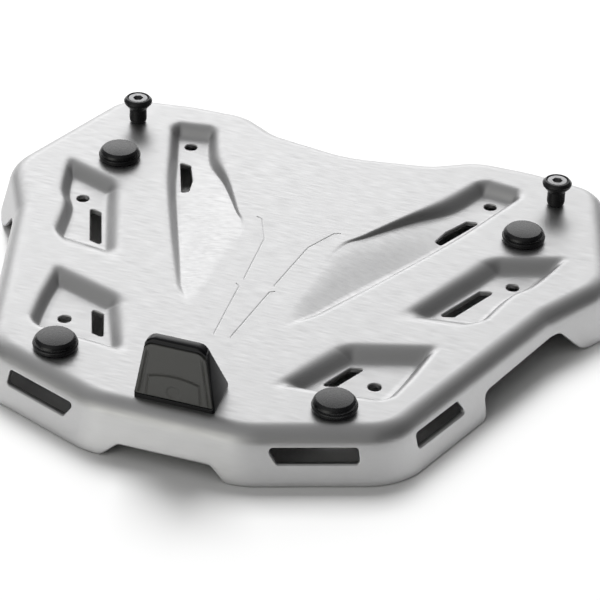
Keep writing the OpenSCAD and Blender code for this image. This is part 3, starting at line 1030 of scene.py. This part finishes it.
def relief(u, v):
    """Height of the cover's face at (u, v), above the plain face."""
    t = (v - COVER_FOOT) / (TAB_SIDE_H - COVER_FOOT)
    tab_half = TAB_HALF_FOOT + (TAB_HALF_HEAD - TAB_HALF_FOOT) * t
    arch = TAB_SIDE_H + TAB_ARCH * (1 - (u / TAB_HALF_HEAD) ** 2)
    inside_tab = np.minimum(tab_half - np.abs(u), arch - v)
    narrowing = (COVER_HALF_HEAD - COVER_HALF_FOOT) * (v - COVER_FOOT) / (COVER_HEAD - COVER_FOOT)
    seam = COVER_HALF_FOOT - SEAM_INSET + narrowing
    off_seam = np.abs(np.abs(u) - seam)
    below_head = step(COVER_HEAD - SEAM_FADE - v, SEAM_FADE)
    seam_cut = (1 - step(off_seam - SEAM_HALF_W, CUT_SOFT)) * below_head
    bead = (1 - step(np.abs(off_seam - BEAD_AWAY) - BEAD_HALF_W, BEAD_SOFT)) * below_head
    groove = 1 - step(np.abs(inside_tab + GROOVE_AWAY) - GROOVE_HALF_W, CUT_SOFT)
    reach = np.hypot(u, v - DIMPLE_V)
    dimple = 1 - step(reach - DIMPLE_R, DIMPLE_SOFT)
    raised = TAB_RISE * step(inside_tab, TAB_SOFT) + BEAD_RISE * bead
    return raised - GROOVE_DEPTH * groove - SEAM_DEPTH * seam_cut - DIMPLE_DEPTH * dimple


# %% Build the cover as a closed panel
COVER_COLUMNS = 161
COVER_ROWS = 131
COVER_ROUND = 0.5
RELIEF_FROM = 0.8
RELIEF_SOFT = 0.6


def on_face(u, v, depth):
    """A point (u across, v up) at a height above the block's leaning rear face."""
    v = np.asarray(v, float)
    y = CATCH_LOW.y + v * math.sin(FACE_LEAN) - depth * math.cos(FACE_LEAN)
    z = TOP + v * math.cos(FACE_LEAN) + depth * math.sin(FACE_LEAN)
    return np.stack(np.broadcast_arrays(u, y, z), -1)


v_rows = np.linspace(COVER_FOOT, COVER_HEAD, COVER_ROWS)
u_columns = np.linspace(-1, 1, COVER_COLUMNS)
v_face = np.repeat(v_rows[:, None], COVER_COLUMNS, 1)
u_face = u_columns[None] * cover_half_width(v_face)
side_gap = cover_half_width(v_face) - np.abs(u_face)
end_gap = np.minimum(v_face - COVER_FOOT, COVER_HEAD - v_face)
edge_gap = np.minimum(side_gap, end_gap)
near_edge = np.clip(COVER_ROUND - edge_gap, 0, COVER_ROUND)
rolled = COVER_ROUND - np.sqrt(COVER_ROUND**2 - near_edge**2)
height = PROUD - rolled + relief(u_face, v_face) * step(edge_gap - RELIEF_FROM, RELIEF_SOFT)
front_face = on_face(u_face, v_face, height)
back_face = on_face(u_face, v_face, -COVER_T)
cover_points = np.concatenate([front_face.reshape(-1, 3), back_face.reshape(-1, 3)])
cover_faces = grid_faces(COVER_ROWS, COVER_COLUMNS)
second = COVER_ROWS * COVER_COLUMNS
cover_faces += grid_faces(COVER_ROWS, COVER_COLUMNS, second, flip=True)
index = np.arange(second).reshape(COVER_ROWS, COVER_COLUMNS)
border = rim_loop(index)
for i, j in zip(border, np.roll(border, -1)):
    cover_faces.append([i, j, j + second, i + second])
catch_panel = make_mesh("catch_panel", cover_points, cover_faces)
print("open edges in the cover:", clean(catch_panel, FINE_GAP))
smooth(catch_panel, angle=50)

# %% Sink a pocket for the cover into the block
GAP = 0.3
LIP = 0.4
POCKET_FOOT_R = 1.2
POCKET_SPACING = 0.5
POCKET_SECTION = [
    (GAP, -COVER_T - 0.1),
    (GAP, -LIP),
    (GAP + LIP * 0.3, -LIP * 0.3),
    (GAP + LIP * 1.5, 0.4),
    (GAP + LIP * 1.5, 3),
]
pocket_corners = [
    (-COVER_HALF_FOOT, COVER_FOOT, POCKET_FOOT_R),
    (COVER_HALF_FOOT, COVER_FOOT, POCKET_FOOT_R),
    (COVER_HALF_HEAD, COVER_HEAD, COVER_CORNER),
    (-COVER_HALF_HEAD, COVER_HEAD, COVER_CORNER),
]
pocket_line, pocket_normals = outline(pocket_corners, POCKET_SPACING, fill=False)
pocket_rings = []
for grow, depth in POCKET_SECTION:
    p = pocket_line + pocket_normals * grow
    pocket_rings.append(on_face(p[:, 0], p[:, 1], depth))
cut(catch_block, [tube(pocket_rings)])
smooth(catch_block, angle=30)

# %% [markdown]
# ## Finishes
# Each surface here is one colour with fine detail in its gloss: the brushing of the sheet, the
# specks of the rubber, the grain of the moulded cover. All of it is noise, stretched and scaled to
# suit, so one shader node group makes it, and each material places that group with its own values.
# The numbers that are the same all over a surface are set on the shader itself.


# %% The shared grain
def new_material(name):
    """A new material and its shader."""
    material = bpy.data.materials.new(name)
    material.use_nodes = True
    return material, material.node_tree.nodes["Principled BSDF"]


GRAIN_DEPTH = 0.0001


def build_grain():
    """Fine grain: noise on Object coordinates, stretched, as a centred value and as a bump."""
    tree = bpy.data.node_groups.new("grain", "ShaderNodeTree")
    add_sockets(tree, "INPUT", Scale="Vector", Detail="Float", Bump="Float")
    add_sockets(tree, "OUTPUT", Value="Float", Normal="Vector")
    given = tree.nodes.new("NodeGroupInput")
    result = tree.nodes.new("NodeGroupOutput")
    place = tree.nodes.new("ShaderNodeTexCoord")
    stretch = tree.nodes.new("ShaderNodeVectorMath")
    stretch.operation = "MULTIPLY"
    noise = tree.nodes.new("ShaderNodeTexNoise")
    noise.inputs["Scale"].default_value = 1
    bump = tree.nodes.new("ShaderNodeBump")
    bump.inputs["Distance"].default_value = GRAIN_DEPTH
    link = tree.links.new
    link(place.outputs["Object"], stretch.inputs[0])
    link(given.outputs["Scale"], stretch.inputs[1])
    link(stretch.outputs["Vector"], noise.inputs["Vector"])
    link(given.outputs["Detail"], noise.inputs["Detail"])
    link(noise.outputs["Fac"], bump.inputs["Height"])
    link(given.outputs["Bump"], bump.inputs["Strength"])
    link(noise.outputs["Fac"], result.inputs["Value"])
    link(bump.outputs["Normal"], result.inputs["Normal"])
    return tree


grain = build_grain()


def add_grain(material, scale, bump, detail=3):
    """Places the grain group in a material and feeds the shader's normal."""
    node = material.node_tree.nodes.new("ShaderNodeGroup")
    node.node_tree = grain
    node.inputs["Scale"].default_value = scale
    node.inputs["Detail"].default_value = detail
    node.inputs["Bump"].default_value = bump
    shader = material.node_tree.nodes["Principled BSDF"]
    material.node_tree.links.new(node.outputs["Normal"], shader.inputs["Normal"])
    return node


def map_range(tree, value, *limits):
    """A Map Range node that takes a value from one span to another."""
    fit = tree.nodes.new("ShaderNodeMapRange")
    for name, limit in zip(("From Min", "From Max", "To Min", "To Max"), limits):
        fit.inputs[name].default_value = limit
    tree.links.new(value, fit.inputs["Value"])
    return fit


GRAIN_SPAN = (0.3, 0.7)


def spread(material, node, socket, low, high):
    """Feeds a shader socket with the grain's value, spread between two limits."""
    tree = material.node_tree
    fit = map_range(tree, node.outputs["Value"], *GRAIN_SPAN, low, high)
    tree.links.new(fit.outputs["Result"], tree.nodes["Principled BSDF"].inputs[socket])


# %% The materials
def make_finish(name, colour, grain_scale, bump, roughness, metallic=0, specular=0.5):
    """A material of one colour, whose bump and roughness follow the grain."""
    material, shader = new_material(name)
    shader.inputs["Base Color"].default_value = (*colour, 1)
    shader.inputs["Metallic"].default_value = metallic
    shader.inputs["Specular IOR Level"].default_value = specular
    spread(material, add_grain(material, grain_scale, bump), "Roughness", *roughness)
    print("made the finish", name)
    return material


aluminium = make_finish(
    "satin_aluminium",
    colour=(0.57, 0.57, 0.573),
    grain_scale=(90, 1000, 1000),
    bump=0.2,
    roughness=(0.38, 0.48),
    metallic=1,
)
# The sheet's inner faces: rougher aluminium whose colour is darkened to paint the shade under the
# sheet, seen through its slots and holes.
underside_painted_shade = make_finish(
    "aluminium_painted_shade",
    colour=(0.14, 0.14, 0.142),
    grain_scale=(60, 1400, 1400),
    bump=0.12,
    roughness=(0.5, 0.6),
    metallic=1,
)
rubber = make_finish(
    "black_rubber",
    colour=(0.003, 0.003, 0.004),
    grain_scale=(900, 900, 900),
    bump=0.25,
    roughness=(0.2, 0.32),
)
lacquer = make_finish(
    "black_lacquer",
    colour=(0.005, 0.005, 0.006),
    grain_scale=(500, 500, 500),
    bump=0.08,
    roughness=(0.24, 0.32),
)
steel = make_finish(
    "zinc_steel",
    colour=(0.3, 0.3, 0.305),
    grain_scale=(700, 700, 700),
    bump=0.2,
    roughness=(0.3, 0.45),
    metallic=1,
)
gloss = make_finish(
    "gloss_black_plastic",
    colour=(0.004, 0.004, 0.005),
    grain_scale=(300, 300, 300),
    bump=0.04,
    roughness=(0.12, 0.18),
    specular=0.25,
)
matt = make_finish(
    "charcoal_plastic",
    colour=(0.06, 0.06, 0.055),
    grain_scale=(1500, 1500, 1500),
    bump=0.3,
    roughness=(0.4, 0.5),
)

# %% Dress the pieces and tie them to their body
pads = copies("rubber_pads", pad_shape, PAD_PLACES, rubber)
pins = copies("mushroom_pins", pin_shape, PIN_PLACES, lacquer)
screws = copies("pin_screws", screw_shape, PIN_PLACES, steel)


def dress(piece, material, slot, *nodes, inner=None):
    """Gives a piece its finish, ties it to the body it rides on and hides the CAD nodes it stands
    for.
    """
    places = piece.data.materials
    for i, finish in enumerate((material, inner) if inner else (material,)):
        if i < len(places):
            places[i] = finish
        else:
            places.append(finish)
    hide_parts(*nodes)
    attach(piece, BODY)


# The inner faces take the darkened aluminium, which paints the shade under the sheet.
dress(sheet, aluminium, "plate", "plate", inner=underside_painted_shade)
dress(pads, rubber, "pad", "pad_front_left", "pad_front_right", "pad_rear_left", "pad_rear_right")
dress(pins, lacquer, "pin", "pin_left", "pin_right")
dress(screws, steel, "steel", "pin_screw_left", "pin_screw_right")
dress(catch_block, gloss, "catch", "catch_body")
dress(catch_panel, matt, "cover", "catch_cover")
hidden_fixings = []
for name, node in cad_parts.items():
    if "washer" in name or "nut" in name or name.startswith("catch_screw"):
        node.data.materials.clear()
        node.data.materials.append(steel)
        hidden_fixings.append(name)
print("kept from the CAD model, in steel:", hidden_fixings)

# %% [markdown]
# ## The studio
# The camera stands where the photograph's did. A satin sheet shows what surrounds it, so the
# surroundings matter more than the lamp. The flat top mirrors a bright wall behind the object,
# which is brightest some thirty degrees up and fades to the right. A window behind the camera, to
# the left, lights the bends and the pocket walls, and a dim room fills in the rest. The one lamp
# is hidden from gloss. It lights the floor, and throws the object's shadow towards the camera.

# %% Camera
scene = bpy.context.scene
scene.view_settings.view_transform = "Standard"
TURN = math.radians(18.25)
RISE = math.radians(32.41)
ROLL = math.radians(2.01)
LENS = 176.5
CAMERA_PLACE = Vector((450.5, -1313.65, 888.6))
back = Vector((math.sin(TURN) * math.cos(RISE), -math.cos(TURN) * math.cos(RISE), math.sin(RISE)))
level = Vector((math.cos(TURN), math.sin(TURN), 0))
upward = back.cross(level)
right = level * math.cos(ROLL) + upward * math.sin(ROLL)
above = upward * math.cos(ROLL) - level * math.sin(ROLL)
camera_data = bpy.data.cameras.new("camera")
camera_data.sensor_width = 36
camera_data.lens = LENS
camera_data.clip_start = 0.1
camera_data.clip_end = 50
camera = bpy.data.objects.new("camera", camera_data)
scene.collection.objects.link(camera)
turned = Matrix((right, above, back)).transposed()
camera.matrix_world = Matrix.Translation(CAMERA_PLACE * MM) @ turned.to_4x4()
scene.camera = camera

# %% Floor
HALF_FLOOR = 8000
PAPER = 0.96
corner_signs = ((-1, -1), (1, -1), (1, 1), (-1, 1))
floor_corners = [(x * HALF_FLOOR, y * HALF_FLOOR, 0) for x, y in corner_signs]
floor = make_mesh("floor", floor_corners, [(0, 1, 2, 3)])
paper, shader = new_material("white_paper")
shader.inputs["Base Color"].default_value = (PAPER, PAPER, PAPER, 1)
shader.inputs["Roughness"].default_value = 0.9
shader.inputs["Specular IOR Level"].default_value = 0
floor.data.materials.append(paper)

# %% The lamp
LAMP_PLACE = Vector((-1.1, 2.4, 3.3))
LAMP_SIZE = 2.0
LAMP_POWER = 180
lamp_data = bpy.data.lights.new("key_left", "AREA")
lamp_data.shape = "SQUARE"
lamp_data.size = LAMP_SIZE
lamp_data.energy = LAMP_POWER
lamp = bpy.data.objects.new("key_left", lamp_data)
scene.collection.objects.link(lamp)
lamp.location = LAMP_PLACE
lamp.rotation_euler = (-LAMP_PLACE).to_track_quat("-Z", "Y").to_euler()
lamp.visible_glossy = False

# %% The world: a bright wall behind, a window in front and a dim room
# Each fade runs along one axis of the direction: axis, from, to, strength before, strength after.
WALL_LIGHT = 2.6
WALL_FADES = [
    ("Y", 0.1, 0.6, 0, 1),
    ("Z", 0.44, 0.76, 1, 0),
    ("Z", 0, 0.5, 0.3, 1),
    ("X", -0.35, 0.5, 1, 0.05),
    ("X", -0.9, -0.4, 0.4, 1),
]
WINDOW_LIGHT = 1.3
WINDOW_FADES = [
    ("Y", -0.85, -0.35, 1, 0),
    ("Z", 0.3, 0.75, 1, 0.15),
    ("X", -0.35, 0.15, 1, 0.05),
    ("X", -0.9, -0.5, 0.3, 1),
]
ROOM_LIGHT = 0.36
ROOM_FADES = [("Z", 0.1, 0.8, 0.22, 1), ("X", -0.1, 0.7, 1, 0.3)]
WHITE = (1, 1, 1, 1)
CREAM = (1, 1, 0.94, 1)


def build_world():
    """Strengths by direction, so that the satin sheet has something to mirror."""
    world = bpy.data.worlds.new("studio")
    world.use_nodes = True
    tree = world.node_tree
    tree.nodes.clear()
    link = tree.links.new
    where = tree.nodes.new("ShaderNodeTexCoord")
    axes = tree.nodes.new("ShaderNodeSeparateXYZ")
    link(where.outputs["Generated"], axes.inputs["Vector"])

    def ramp(axis, *limits):
        fit = map_range(tree, axes.outputs[axis], *limits)
        fit.interpolation_type = "SMOOTHSTEP"
        return fit.outputs["Result"]

    def combine(operation, a, b):
        node = tree.nodes.new("ShaderNodeMath")
        node.operation = operation
        link(a, node.inputs[0])
        link(b, node.inputs[1])
        return node.outputs[0]

    def faded(strength, fades):
        first = tree.nodes.new("ShaderNodeValue")
        first.outputs[0].default_value = strength
        value = first.outputs[0]
        for fade in fades:
            value = combine("MULTIPLY", value, ramp(*fade))
        return value

    wall = faded(WALL_LIGHT, WALL_FADES)
    window = faded(WINDOW_LIGHT, WINDOW_FADES)
    room = faded(ROOM_LIGHT, ROOM_FADES)
    both = tree.nodes.new("ShaderNodeAddShader")
    parts = ((combine("ADD", wall, room), WHITE), (window, CREAM))
    for i, (strength, tint) in enumerate(parts):
        light = tree.nodes.new("ShaderNodeBackground")
        light.inputs["Color"].default_value = tint
        link(strength, light.inputs["Strength"])
        link(light.outputs[0], both.inputs[i])
    result = tree.nodes.new("ShaderNodeOutputWorld")
    link(both.outputs[0], result.inputs["Surface"])
    return world


scene.world = build_world()
